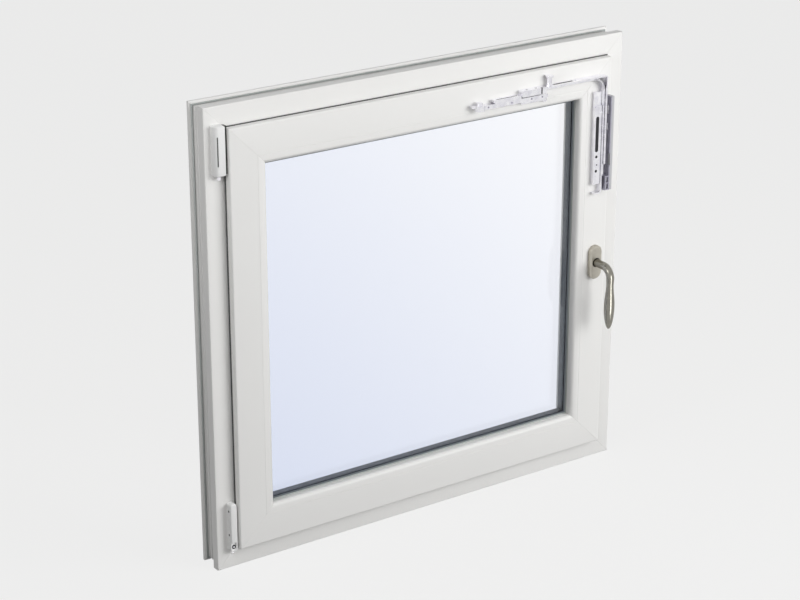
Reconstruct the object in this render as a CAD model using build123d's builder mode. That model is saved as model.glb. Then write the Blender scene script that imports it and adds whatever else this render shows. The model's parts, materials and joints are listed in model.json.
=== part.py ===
"""Single-sash PVC tilt and turn window.

The frame and the sash are rings of four mitred and welded bars. The sash laps over the frame
on the room side and stands proud of it. A sealed unit of two panes sits in the sash behind
clipped beads, the hinges are on the left, and the handle is on the right stile. A corner drive
and its keep stand on the room face of the sash, at the upper right corner.

Units are millimetres. +Z is up, -Y faces the room and +Y the weather. The origin is in the
underside of the frame's front leg, at the middle of the width.
"""

import os
from math import cos, pi, sin

from build123d import *

# Fixed frame, measured across the profile from its outer edge
frame_width = 960
frame_height = 921
frame_depth = 60
front_leg = 17
back_fin = 8
recess_depth = 8
frame_face = 49
frame_lip = 20
frame_lip_thickness = 14
frame_edge_radius = 2
fin_radius = 3.5

# Sash
sash_lap = 8
sash_proud = 18
seal_gap = 4
hardware_gap = 12
sash_face = 59
sash_edge_radius = 3
groove_width = 16
groove_depth = 3
rod_groove_width = 9
rod_groove_depth = 9
groove_from_flange = 5

# Glazing beads and the outer glazing lip of the sash
bead_width = 18
bead_nose = 7
bead_depth = 16
lip_slope = 5

# Sealed unit
pane_thickness = 4
pane_space = 16
edge_clearance = 5
spacer_reveal = 5.5

# Gaskets
glazing_gasket = 3
glazing_gasket_width = 6.5
gasket_reveal = 2.6
seal_width = 4.5
seal_inset = 2

# Drain slots in the weather face of the sill
drain_length = 28
drain_height = 5
drain_depth = 3
drain_drop = 26
drain_from_middle = 300

# Handle
handle_height = 453
rosette_height = 72
rosette_width = 30
rosette_thickness = 10
rosette_edge = 3
neck_diameter = 16.4
neck_seat = 6
neck_play = 0.3
collar_wall = 1.2
collar_drop = 1.4
grip_reach = 45
grip_length = 131
bend_radius = 22
waist_diameter = 15.4
waist_drop = 12
belly_diameter = 22
belly_drop = 58
swell_steps = 3
tip_steps = 3

# Hinges, on the room face of the left jamb
cap_inset = 14
cap_width = 21
cap_top = 34
cap_height = 94
cap_depth = 16
cap_edge = 2
cap_round = 9
cap_slot_width = 2.4
cap_slot_height = 56
cap_slot_depth = 2
cap_slot_inset = 6
link_depth = 11
upper_pin_diameter = 8
upper_pin_drop = 7
cover_inset = 22.5
cover_width = 14
cover_base = 58
cover_height = 82
cover_depth = 16
cover_edge = 1.5
cover_round = 5
cover_screw_diameter = 4.6
cover_screw_depth = 2.5
cover_screw_top = 16
cover_screw_pitch = 50
pot_height = 19
pot_width = 14.5
pot_depth = 14
pot_round = 5
pot_wall = 2.6
pot_recess = 3
lower_pin_diameter = 6
lower_pin_drop = 4

# Corner drive, on the room face of the sash
drive_side = 63
drive_top = 72
strip_width = 17
strip_thickness = 2.6
strip_radius = 5
strip_across = 150
strip_down = 184
strip_slot_length = 50
strip_slot_width = 6
strip_slot_from_corner = 107
strip_hole_diameter = 4.5
strip_hole_from_corner = 76
strip_screw_from_corner = 176
rod_gap = 0.8
rod_thickness = 3
rod_depth = 13
rod_end_radius = 9
rod_down = 246
rod_end_reach = 9
tooth_pitch = 2.4
tooth_count = 9
tooth_depth = 1.3
tooth_block_thickness = 3.2
band_radius = 28
band_leaf = 1.2
band_leaves = 2
band_gap = 0.5
band_clamp = 3
band_depth = 13
housing_width = 17
housing_gap = 0.6
housing_depth = 10
housing_step = 3
housing_top = 34
housing_step_at = 62
housing_bottom = 226
housing_slot_top = 84
housing_slot_length = 74
housing_slot_width = 8
housing_slot_inset = 6.5
housing_slot_depth = 7
housing_hole_diameter = 6
housing_holes_at = (168, 198)
rivet_at = 76
rivet_diameter = 6
rivet_height = 1
block_start = 150
block_length = 61
block_height = 13
block_depth = 14
block_hole_diameter = 5
block_slot_width = 3
block_slot_at = 13
block_holes_at = (24, 46)
slider_end = 277
slider_drop = 8
slider_height = 7
slider_depth = 12
slider_slot_width = 3.2
slider_slot_depth = 2
arm_start = 146
arm_end = 300
arm_height = 8.5
arm_thickness = 4
roller_drop = 12
roller_diameter = 21
roller_height = 11
roller_neck_diameter = 12
roller_neck_height = 5
roller_lobe = 18
link_bar_height = 5
link_bar_length = 62
link_hook_height = 8
link_bar_thickness = 8
cam_from_corner = 141
cam_head_diameter = 16
cam_waist_diameter = 10.5
cam_base_diameter = 13
cam_base_height = 3
cam_height = 20
cam_head_height = 3

# Keep, beside the corner drive
keep_side = 45.5
keep_top = 117
keep_length = 195
keep_face_thickness = 2.5
keep_backing_thickness = 6
keep_depth = 18
keep_oval_at = 29
keep_oval_length = 19
keep_oval_width = 8
keep_window_at = 64
keep_window_length = 15
keep_neck_at = 118
keep_neck_length = 26
keep_neck_cut = 8
keep_clip_length = 30
keep_clip_reach = 8.5
keep_clip_wall = 2.5

# Worked out from the sizes above
room_face_y = -front_leg / 2
sash_edge = frame_face - sash_lap
sash_rebate = frame_face + hardware_gap
bead_line = sash_edge + sash_face
sightline = bead_line + bead_width
sash_room = -sash_proud
flange_back = -seal_gap
frame_lip_room = frame_depth - frame_lip_thickness
sash_weather = frame_lip_room - seal_gap
bead_back = bead_depth - sash_proud
glass_room = bead_back + glazing_gasket
glass_weather = glass_room + 2 * pane_thickness + pane_space
lip_room = glass_weather + glazing_gasket
glass_edge = bead_line + edge_clearance


def depth(distance):
    """Y at a distance behind the room face of the frame, minus on the room side of it."""
    return room_face_y + distance


def facing_room(distance):
    """Plane parallel to the window, drawn in X and Z, whose normal points into the room."""
    return Plane(origin=(0, depth(distance), 0), x_dir=(1, 0, 0), z_dir=(0, -1, 0))


def bar_plane(origin_x, origin_z, inwards, along):
    """Plane across one side: X runs inwards from the outer edge, and Y runs to the weather."""
    return Plane(origin=(origin_x, room_face_y, origin_z), x_dir=inwards, z_dir=along)


half_width = frame_width / 2
half_height = frame_height / 2
sides = {
    "bottom": (bar_plane(0, 0, (0, 0, 1), (-1, 0, 0)), frame_width),
    "top": (bar_plane(0, frame_height, (0, 0, -1), (1, 0, 0)), frame_width),
    "left": (bar_plane(-half_width, half_height, (1, 0, 0), (0, 0, 1)), frame_height),
    "right": (bar_plane(half_width, half_height, (-1, 0, 0), (0, 0, -1)), frame_height),
}


def mitred_bar(side, outline, rounded):
    """One bar of a ring, with this outline across it and both ends cut at 45 degrees.

    rounded lists the corners of the outline that are rounded, each with its radius.
    """
    plane, length = sides[side]
    with BuildPart() as bar:
        with BuildSketch(plane):
            with BuildLine():
                Polyline(*outline, close=True)
            make_face()
            for corner, radius in rounded:
                fillet(vertices().sort_by_distance(corner)[0], radius=radius)
        extrude(amount=length / 2, both=True)
        for end in (1, -1):
            corner = plane.origin + plane.z_dir * end * length / 2
            mitre = Plane(origin=corner, z_dir=plane.x_dir + plane.z_dir * end)
            split(bisect_by=mitre, keep=Keep.BOTTOM)
    return bar.part


def ring(outer, inner, front, back):
    """Closed ring between two distances from the outer edge and two distances in depth."""
    with BuildPart() as loop:
        with BuildSketch(facing_room(back)):
            with Locations((0, half_height)):
                Rectangle(frame_width - 2 * outer, frame_height - 2 * outer)
                Rectangle(frame_width - 2 * inner, frame_height - 2 * inner, mode=Mode.SUBTRACT)
        extrude(amount=back - front)
    return loop.part


def pane(front):
    """One sheet of the sealed unit, with its room side at this depth."""
    with BuildPart() as sheet:
        with BuildSketch(facing_room(front + pane_thickness)):
            with Locations((0, half_height)):
                Rectangle(frame_width - 2 * glass_edge, frame_height - 2 * glass_edge)
        extrude(amount=pane_thickness)
    return sheet.part


finished = {}

# Fixed frame: front leg, fixing recess and back fin outside, rebate and weather lip inside
frame_outline = [
    (0, 0),
    (frame_face, 0),
    (frame_face, frame_lip_room),
    (frame_face + frame_lip, frame_lip_room),
    (frame_face + frame_lip, frame_depth),
    (0, frame_depth),
    (0, frame_depth - back_fin),
    (recess_depth, frame_depth - back_fin),
    (recess_depth, front_leg),
    (0, front_leg),
]
frame_rounded = [
    ((0, 0), frame_edge_radius),
    ((frame_face, 0), frame_edge_radius),
    ((frame_face + frame_lip, frame_depth), frame_edge_radius),
    ((0, frame_depth), fin_radius),
]
frame_names = {
    "bottom": "frame_sill",
    "top": "frame_head",
    "left": "frame_jamb_left",
    "right": "frame_jamb_right",
}
for side, name in frame_names.items():
    finished[name] = mitred_bar(side, frame_outline, frame_rounded)

# Drain slots in the weather face of the sill, cut into the bar made above
with BuildPart() as drained_sill:
    add(finished["frame_sill"])
    with BuildSketch(facing_room(frame_depth)):
        with Locations((0, drain_drop)):
            with GridLocations(2 * drain_from_middle, 0, 2, 1):
                SlotOverall(drain_length, drain_height)
    extrude(amount=drain_depth, mode=Mode.SUBTRACT)
finished["frame_sill"] = drained_sill.part

# Sash: lapping flange, hardware groove in its edge, glazing lip on the weather side
groove_start = flange_back + groove_from_flange
groove_end = groove_start + groove_width
rod_start = groove_start + (groove_width - rod_groove_width) / 2
rod_end = rod_start + rod_groove_width
groove_floor = sash_rebate + groove_depth
rod_floor = groove_floor + rod_groove_depth
sash_outline = [
    (sash_edge, sash_room),
    (bead_line, sash_room),
    (bead_line, lip_room),
    (sightline, lip_room),
    (sightline - lip_slope, sash_weather),
    (sash_rebate, sash_weather),
    (sash_rebate, groove_end),
    (groove_floor, groove_end),
    (groove_floor, rod_end),
    (rod_floor, rod_end),
    (rod_floor, rod_start),
    (groove_floor, rod_start),
    (groove_floor, groove_start),
    (sash_rebate, groove_start),
    (sash_rebate, flange_back),
    (sash_edge, flange_back),
]
sash_rounded = [
    ((sash_edge, sash_room), sash_edge_radius),
    ((sightline - lip_slope, sash_weather), frame_edge_radius),
]
sash_names = {
    "bottom": "sash_bottom_rail",
    "top": "sash_top_rail",
    "left": "sash_stile_left",
    "right": "sash_stile_right",
}
for side, name in sash_names.items():
    finished[name] = mitred_bar(side, sash_outline, sash_rounded)

# Glazing beads: flat room face with a broad round nose towards the glass
bead_outline = [
    (bead_line, sash_room),
    (sightline, sash_room),
    (sightline, bead_back),
    (bead_line, bead_back),
]
bead_rounded = [((sightline, sash_room), bead_nose)]
for side in sides:
    finished["bead_" + side] = mitred_bar(side, bead_outline, bead_rounded)

# Sealed unit and gaskets
glass_pane_outer = glass_room + pane_thickness + pane_space
finished["glass_pane_inner"] = pane(glass_room)
finished["glass_pane_outer"] = pane(glass_pane_outer)
finished["spacer_ring"] = ring(
    glass_edge, sightline + spacer_reveal, glass_room + pane_thickness, glass_pane_outer
)
gasket_start = sightline + gasket_reveal - glazing_gasket_width
gasket_end = sightline + gasket_reveal
finished["gasket_bead"] = ring(gasket_start, gasket_end, bead_back, glass_room)
finished["gasket_glass_outer"] = ring(gasket_start, gasket_end, glass_weather, lip_room)
flange_seal = sash_edge + seal_inset
finished["gasket_flange"] = ring(flange_seal, flange_seal + seal_width, flange_back, 0)
rebate_seal = sash_rebate + seal_inset
finished["gasket_rebate"] = ring(
    rebate_seal, rebate_seal + seal_width, sash_weather, frame_lip_room
)

# Handle: rosette, collar and lever
handle_x = half_width - (sash_edge + bead_line) / 2
handle_at = (handle_x, handle_height)
rosette_front = sash_room - rosette_thickness
seat_floor = rosette_front + neck_seat
collar_bore = neck_diameter + 2 * neck_play
collar_outside = collar_bore + 2 * collar_wall
with BuildPart() as rosette:
    with BuildSketch(facing_room(sash_room)):
        with Locations(handle_at):
            SlotOverall(rosette_height, rosette_width, rotation=90)
    extrude(amount=rosette_thickness)
    chamfer(faces().sort_by(Axis.Y)[0].edges(), length=rosette_edge)
    with BuildSketch(facing_room(rosette_front)):
        with Locations(handle_at):
            Circle(collar_outside / 2)
    extrude(amount=-neck_seat, mode=Mode.SUBTRACT)
finished["handle_rosette"] = rosette.part

with BuildPart() as collar:
    with BuildSketch(facing_room(seat_floor)):
        with Locations(handle_at):
            Circle(collar_outside / 2)
            Circle(collar_bore / 2, mode=Mode.SUBTRACT)
    extrude(amount=neck_seat - collar_drop)
finished["handle_collar"] = collar.part

neck_start = depth(seat_floor - neck_play)
grip_y = depth(rosette_front - grip_reach)
bend_end_z = handle_height - bend_radius
grip_drop = grip_length - bend_radius
grip_plane = Plane(origin=(handle_x, grip_y, bend_end_z), x_dir=(1, 0, 0), z_dir=(0, -1, 0))


def grip_outline():
    """Half width of the grip down its length: a waist, a swell, then a rounded tip."""
    waist = waist_diameter / 2
    belly = belly_diameter / 2
    points = []
    for step in range(swell_steps):
        share = step / swell_steps
        width = waist + (belly - waist) * (1 - cos(pi * share)) / 2
        points.append((width, -waist_drop - (belly_drop - waist_drop) * share))
    for step in range(tip_steps + 1):
        angle = pi / 2 * step / tip_steps
        points.append((belly * cos(angle), -belly_drop - (grip_drop - belly_drop) * sin(angle)))
    return points


with BuildPart() as lever:
    with BuildLine(Plane.YZ.offset(handle_x)):
        neck_line = Line((neck_start, handle_height), (grip_y + bend_radius, handle_height))
        TangentArc(neck_line @ 1, grip_plane.origin, tangent=neck_line % 1)
    with BuildSketch(Plane(origin=neck_line @ 0, z_dir=(0, -1, 0))):
        Circle(neck_diameter / 2)
    sweep()
    with BuildSketch(grip_plane):
        with BuildLine():
            Polyline((0, 0), (neck_diameter / 2, 0), *grip_outline(), close=True)
        make_face()
    revolve(axis=Axis(grip_plane.origin, (0, 0, 1)))
finished["handle_lever"] = lever.part

# Upper hinge: cap over the stay bearing, the dark link to the sash and the pin below
cap_x = -half_width + cap_inset + cap_width / 2
cap_z = frame_height - cap_top - cap_height / 2
cap_left = cap_inset - half_width
with BuildPart() as upper_cap:
    with BuildSketch(Plane.XY.offset(cap_z - cap_height / 2)):
        with Locations((cap_x, depth(-cap_depth / 2))):
            Rectangle(cap_width, cap_depth)
        fillet(vertices().sort_by_distance((cap_left, depth(-cap_depth)))[0], radius=cap_round)
    extrude(amount=cap_height)
    chamfer(faces().sort_by(Axis.Z)[-1].edges().sort_by(Axis.Y)[:3], length=cap_edge)
    chamfer(faces().sort_by(Axis.Z)[0].edges().sort_by(Axis.Y)[:3], length=cap_edge)
    with BuildSketch(facing_room(-cap_depth)):
        with Locations((cap_left + cap_slot_inset, cap_z)):
            SlotOverall(cap_slot_height, cap_slot_width, rotation=90)
    extrude(amount=-cap_slot_depth - cap_edge, mode=Mode.SUBTRACT)
finished["hinge_upper_cap"] = upper_cap.part

link_left = cap_left + cap_width
link_right = sash_edge - half_width
with BuildPart() as upper_link:
    with BuildSketch(facing_room(0)):
        with Locations(((link_left + link_right) / 2, cap_z)):
            Rectangle(link_right - link_left, cap_height - 2 * cap_edge)
    extrude(amount=link_depth)
finished["hinge_upper_link"] = upper_link.part

with BuildPart() as upper_pin:
    with BuildSketch(Plane.XY.offset(cap_z - cap_height / 2)):
        with Locations((cap_x, depth(-cap_depth / 2))):
            Circle(upper_pin_diameter / 2)
    extrude(amount=-upper_pin_drop)
finished["hinge_upper_pin"] = upper_pin.part

# Lower hinge: domed cover on the frame, and the pot and pin that carry the sash
cover_x = -half_width + cover_inset + cover_width / 2
cover_top = cover_base + cover_height
with BuildPart() as lower_cover:
    with BuildSketch(facing_room(0)):
        with Locations((cover_x, cover_base)):
            Rectangle(cover_width, cover_height, align=(Align.CENTER, Align.MIN))
        fillet(vertices().sort_by(Axis.Y)[-2:], radius=cover_round)
    extrude(amount=cover_depth)
    chamfer(faces().sort_by(Axis.Y)[0].edges(), length=cover_edge)
    screw_top = cover_top - cover_screw_top
    with BuildSketch(Plane.YZ.offset(cover_x - cover_width / 2)):
        with Locations((depth(-cover_depth / 2), screw_top - cover_screw_pitch / 2)):
            with GridLocations(0, cover_screw_pitch, 1, 2):
                Circle(cover_screw_diameter / 2)
    extrude(amount=cover_screw_depth, mode=Mode.SUBTRACT)
finished["hinge_lower_cover"] = lower_cover.part

pot_z = cover_base - pot_height
with BuildPart() as lower_pot:
    with BuildSketch(facing_room(0)) as pot_face:
        with Locations((cover_x, cover_base)):
            Rectangle(pot_width, pot_height, align=(Align.CENTER, Align.MAX))
        fillet(vertices().sort_by(Axis.Y)[:2], radius=pot_round)
    extrude(amount=pot_depth)
    with BuildSketch(facing_room(-pot_depth)):
        with Locations((cover_x, cover_base)):
            Rectangle(
                pot_width - 2 * pot_wall, pot_height - pot_wall, align=(Align.CENTER, Align.MAX)
            )
        fillet(vertices().sort_by(Axis.Y)[:2], radius=pot_round - pot_wall)
    extrude(amount=-pot_recess, mode=Mode.SUBTRACT)
finished["hinge_lower_pot"] = lower_pot.part

with BuildPart() as lower_pin:
    with BuildSketch(Plane.XY.offset(pot_z)):
        with Locations((cover_x, depth(-pot_depth / 2))):
            Circle(lower_pin_diameter / 2)
    extrude(amount=-lower_pin_drop)
finished["hinge_lower_pin"] = lower_pin.part

# Corner drive. Places are given from the outer corner of its faceplate: across to the left
# along the top leg, and down along the side leg.
drive_x = half_width - drive_side
drive_z = frame_height - drive_top
strip_middle = depth(sash_room) - strip_width / 2
corner_at = (drive_x, drive_z)
upper_right = (Align.MAX, Align.MAX)
lower_right = (Align.MAX, Align.MIN)
lower_left = (Align.MIN, Align.MIN)


def across(distance):
    """X at a distance from the corner along the top leg."""
    return drive_x - distance


def down(distance):
    """Z at a distance from the corner along the side leg."""
    return drive_z - distance


with BuildPart() as faceplate:
    with BuildSketch(facing_room(sash_room)):
        with Locations(corner_at):
            Rectangle(strip_across, strip_thickness, align=upper_right)
            Rectangle(strip_thickness, strip_down, align=upper_right)
        fillet(vertices().sort_by_distance(corner_at)[0], radius=strip_radius)
    extrude(amount=strip_width)
    with BuildSketch(Plane.XY.offset(drive_z)):
        with Locations((across(strip_slot_from_corner), strip_middle)):
            SlotOverall(strip_slot_length, strip_slot_width)
        with Locations((across(strip_hole_from_corner), strip_middle)):
            Circle(strip_hole_diameter / 2)
    extrude(amount=-strip_thickness, mode=Mode.SUBTRACT)
    with BuildSketch(Plane.YZ.offset(drive_x)):
        with Locations((strip_middle, down(strip_screw_from_corner))):
            Circle(strip_hole_diameter / 2)
    extrude(amount=-strip_thickness, mode=Mode.SUBTRACT)
finished["corner_faceplate"] = faceplate.part

# Drive rod under the side leg, with a toothed coupling and an end that turns inwards
rod_inset = strip_thickness + rod_gap
rod_x = across(rod_inset)
shaft_start = rod_inset + band_radius
hook_start = rod_down - rod_end_radius
tooth_top = strip_down + tooth_pitch / 2
tooth_run = tooth_pitch * (tooth_count + 1)
with BuildPart() as drive_rod:
    with BuildSketch(facing_room(sash_room)):
        with BuildLine():
            hook_bend = (across(rod_inset + rod_end_radius), down(rod_down))
            shaft = Line((rod_x, down(shaft_start)), (rod_x, down(hook_start)))
            hook = RadiusArc(shaft @ 1, hook_bend, rod_end_radius)
            reach = Line(hook @ 1, (hook_bend[0] - rod_end_reach, hook_bend[1]))
            inner_bend = (hook_bend[0], hook_bend[1] + rod_thickness)
            inner = Line(reach @ 1, (hook_bend[0] - rod_end_reach, inner_bend[1]))
            back = Line(inner @ 1, inner_bend)
            inner_shaft = rod_x - rod_thickness
            turn = RadiusArc(
                back @ 1, (inner_shaft, down(hook_start)), -(rod_end_radius - rod_thickness)
            )
            Polyline(turn @ 1, (inner_shaft, down(shaft_start)), shaft @ 0)
        make_face()
        with Locations((rod_x, down(tooth_top))):
            Rectangle(tooth_block_thickness, tooth_run, align=(Align.MIN, Align.MAX))
        first_tooth = down(tooth_top + tooth_run / 2)
        with Locations((rod_x + tooth_block_thickness, first_tooth)):
            with GridLocations(0, tooth_pitch, 1, tooth_count):
                Rectangle(2 * tooth_depth, tooth_pitch / 2, mode=Mode.SUBTRACT)
    extrude(amount=rod_depth)
finished["drive_rod"] = drive_rod.part

# Stack of spring leaves that carries the drive round the corner, clamped together at its foot
turn_x = across(rod_inset + band_radius)
turn_z = down(rod_inset + band_radius)
with BuildPart() as band:
    with BuildSketch(facing_room(sash_room)):
        for leaf in range(band_leaves):
            outside = band_radius - leaf * (band_leaf + band_gap)
            with Locations((turn_x, turn_z)):
                Circle(outside)
                Circle(outside - band_leaf, mode=Mode.SUBTRACT)
        with Locations((turn_x, turn_z)):
            Rectangle(band_radius, band_radius, align=lower_left, mode=Mode.INTERSECT)
        stack = band_leaves * (band_leaf + band_gap) - band_gap
        with Locations((turn_x + band_radius, turn_z)):
            Rectangle(stack, band_clamp, align=lower_right)
    extrude(amount=band_depth)
finished["corner_spring_band"] = band.part

# Slide rod under the top leg, which carries the cam and runs from the band to the guide block
with BuildPart() as slide_rod:
    with BuildSketch(facing_room(sash_room)):
        with Locations((turn_x, down(rod_inset))):
            Rectangle(turn_x - across(block_start), rod_thickness, align=upper_right)
    extrude(amount=rod_depth)
finished["slide_rod"] = slide_rod.part

# Gear housing beside the rod: a stepped block with the long slot of its slide and two screws
housing_right = across(rod_inset + rod_thickness + housing_gap)
housing_left = housing_right - housing_width
slot_x = housing_left + housing_slot_inset
housing_front = sash_room - housing_depth
with BuildPart() as housing:
    with BuildSketch(facing_room(sash_room)):
        with Locations((housing_right, down(housing_top))):
            Rectangle(housing_width, housing_bottom - housing_top, align=upper_right)
        fillet(vertices().sort_by(Axis.Y)[:2], radius=housing_step)
    extrude(amount=housing_depth)
    with BuildSketch(facing_room(housing_front)):
        with Locations((housing_right, down(housing_top))):
            Rectangle(housing_width, housing_step_at - housing_top, align=upper_right)
        with Locations((housing_left, down(housing_step_at))):
            Rectangle(housing_step, housing_step, align=(Align.MIN, Align.MAX))
    extrude(amount=-housing_step, mode=Mode.SUBTRACT)
    with BuildSketch(facing_room(housing_front)):
        slot_middle = housing_slot_top + housing_slot_length / 2
        with Locations((slot_x, down(slot_middle))):
            SlotOverall(housing_slot_length, housing_slot_width, rotation=90)
        for place in housing_holes_at:
            with Locations((slot_x, down(place))):
                Circle(housing_hole_diameter / 2)
    extrude(amount=-housing_slot_depth, mode=Mode.SUBTRACT)
    with BuildSketch(facing_room(housing_front)):
        with Locations((slot_x + housing_slot_width, down(rivet_at))):
            Circle(rivet_diameter / 2)
    extrude(amount=rivet_height)
finished["corner_housing"] = housing.part

# Top leg: guide block with the cam beside it, then the slider rail and the stay arm
with BuildPart() as guide_block:
    with BuildSketch(facing_room(sash_room)):
        with Locations((across(block_start), drive_z)):
            Rectangle(block_length, block_height, align=upper_right)
        fillet(vertices().sort_by(Axis.X)[:2], radius=block_slot_width)
    extrude(amount=block_depth)
    with BuildSketch(Plane.XY.offset(drive_z)):
        for place in block_holes_at:
            with Locations((across(block_start + place), strip_middle)):
                Circle(block_hole_diameter / 2)
    extrude(amount=-block_height / 2, mode=Mode.SUBTRACT)
    with BuildSketch(facing_room(sash_room - block_depth)):
        with Locations((across(block_start + block_slot_at), drive_z)):
            Rectangle(block_slot_width, block_height, align=(Align.CENTER, Align.MAX))
    extrude(amount=-block_slot_width, mode=Mode.SUBTRACT)
finished["guide_block"] = guide_block.part

slider_start = block_start + block_length
slider_length = slider_end - slider_start
slider_top = drive_z - slider_drop
with BuildPart() as slider:
    with BuildSketch(facing_room(sash_room)):
        with Locations((across(slider_start), slider_top)):
            Rectangle(slider_length, slider_height, align=upper_right)
        fillet(vertices().sort_by(Axis.X)[0], radius=slider_height / 2)
    extrude(amount=slider_depth)
    with BuildSketch(Plane.XY.offset(slider_top)):
        with Locations((across(slider_start + slider_length / 2), strip_middle)):
            SlotOverall(slider_length - 2 * slider_height, slider_slot_width)
    extrude(amount=-slider_slot_depth, mode=Mode.SUBTRACT)
finished["slider_rail"] = slider.part

arm_top = drive_z - slider_drop - slider_height
with BuildPart() as stay_arm:
    with BuildSketch(facing_room(sash_room)):
        with Locations((across(arm_start), arm_top)):
            Rectangle(arm_end - arm_start, arm_height, align=upper_right)
        fillet(vertices().sort_by(Axis.X)[-2:], radius=arm_thickness)
    extrude(amount=slider_depth)
finished["stay_arm"] = stay_arm.part

# Two plain bars of the stay below the arm
bar_top = arm_top - arm_height
with BuildPart() as link_bars:
    with BuildSketch(facing_room(sash_room)):
        with Locations((across(arm_start), bar_top)):
            Rectangle(link_bar_length, link_bar_height, align=upper_right)
            Rectangle(link_hook_height, link_hook_height, align=upper_right)
        with Locations((across(arm_start), bar_top - link_bar_height / 2)):
            Rectangle(
                link_bar_height, link_bar_height / 2, align=upper_right, mode=Mode.SUBTRACT
            )
    extrude(amount=link_bar_thickness)
finished["link_bars"] = link_bars.part

with BuildPart() as end_roller:
    roller_top = drive_z - roller_drop
    roller_x = across(arm_end + roller_diameter / 2)
    with BuildSketch(Plane.XY.offset(roller_top)):
        with Locations((roller_x, depth(sash_room) - roller_diameter / 2)):
            Circle(roller_diameter / 2)
    extrude(amount=-roller_height)
    with BuildSketch(Plane.XY.offset(roller_top)):
        with Locations((roller_x, depth(sash_room) - roller_diameter / 2)):
            Circle(roller_neck_diameter / 2)
    extrude(amount=roller_neck_height)
    with BuildSketch(Plane.XY.offset(roller_top)):
        with Locations((roller_x, depth(sash_room))):
            Rectangle(roller_lobe, roller_neck_diameter, align=upper_right)
    extrude(amount=-roller_neck_height)
finished["end_roller"] = end_roller.part

# Mushroom cam: a waisted spool that stands on the faceplate
cam_x = across(cam_from_corner)
with BuildPart() as cam:
    with BuildSketch(Plane.XZ.offset(-strip_middle)):
        with BuildLine():
            Polyline(
                (cam_x, drive_z),
                (cam_x + cam_base_diameter / 2, drive_z),
                (cam_x + cam_base_diameter / 2, drive_z + cam_base_height),
                (cam_x + cam_waist_diameter / 2, drive_z + cam_base_height),
                (cam_x + cam_waist_diameter / 2, drive_z + cam_height - cam_head_height),
                (cam_x + cam_head_diameter / 2, drive_z + cam_height - cam_head_height),
                (cam_x + cam_head_diameter / 2, drive_z + cam_height),
                (cam_x, drive_z + cam_height),
                close=True,
            )
        make_face()
    revolve(axis=Axis((cam_x, strip_middle, 0), (0, 0, 1)))
finished["mushroom_cam"] = cam.part

# Keep: a plate facing the drive with its windows, on a backing strip, and a clip at its foot
keep_x = half_width - keep_side
keep_z = frame_height - keep_top
keep_face_x = keep_x - keep_backing_thickness
keep_middle = depth(sash_room) - keep_depth / 2
with BuildPart() as keep_backing:
    with BuildSketch(facing_room(sash_room)):
        with Locations((keep_x, keep_z)):
            Rectangle(keep_backing_thickness, keep_length, align=upper_right)
    extrude(amount=keep_depth)
finished["keep_backing"] = keep_backing.part

with BuildPart() as keep_plate:
    with BuildSketch(Plane.YZ.offset(keep_face_x)):
        with Locations((keep_middle, keep_z)):
            Rectangle(keep_depth, keep_length, align=(Align.CENTER, Align.MAX))
        with Locations((keep_middle, keep_z - keep_oval_at)):
            SlotOverall(keep_oval_length, keep_oval_width, rotation=90, mode=Mode.SUBTRACT)
        with Locations((keep_middle, keep_z - keep_window_at)):
            Rectangle(keep_oval_width, keep_window_length, mode=Mode.SUBTRACT)
        with Locations((keep_middle - keep_depth / 2, keep_z - keep_neck_at)):
            Rectangle(
                keep_neck_cut, keep_neck_length, align=(Align.MIN, Align.MAX), mode=Mode.SUBTRACT
            )
    extrude(amount=-keep_face_thickness)
finished["keep_plate"] = keep_plate.part

clip_x = keep_face_x - keep_face_thickness
clip_z = keep_z - keep_length
with BuildPart() as keep_clip:
    with BuildSketch(facing_room(sash_room)):
        with Locations((clip_x, clip_z)):
            Rectangle(keep_clip_reach, keep_clip_length, align=lower_right)
        with Locations((clip_x, clip_z + keep_clip_wall)):
            window_height = (keep_clip_length - 3 * keep_clip_wall) / 2
            window_width = keep_clip_reach - keep_clip_wall
            for row in range(2):
                with Locations((0, row * (window_height + keep_clip_wall))):
                    Rectangle(
                        window_width, window_height, align=lower_right, mode=Mode.SUBTRACT
                    )
    extrude(amount=keep_depth)
finished["keep_clip"] = keep_clip.part

os.makedirs("parts", exist_ok=True)
for name, solid in finished.items():
    solid.label = name
    export_step(solid, "parts/" + name + ".step")
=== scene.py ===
"""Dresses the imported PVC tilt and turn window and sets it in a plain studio.

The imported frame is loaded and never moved. Bars and fittings get fine edges, the handle gets a
smooth grip, the small fasteners, ribs and perforations are added, and every surface gets a
procedural finish. Lengths are metres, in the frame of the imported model.
"""

import json
import logging
import math
from dataclasses import dataclass
from enum import Enum

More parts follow.
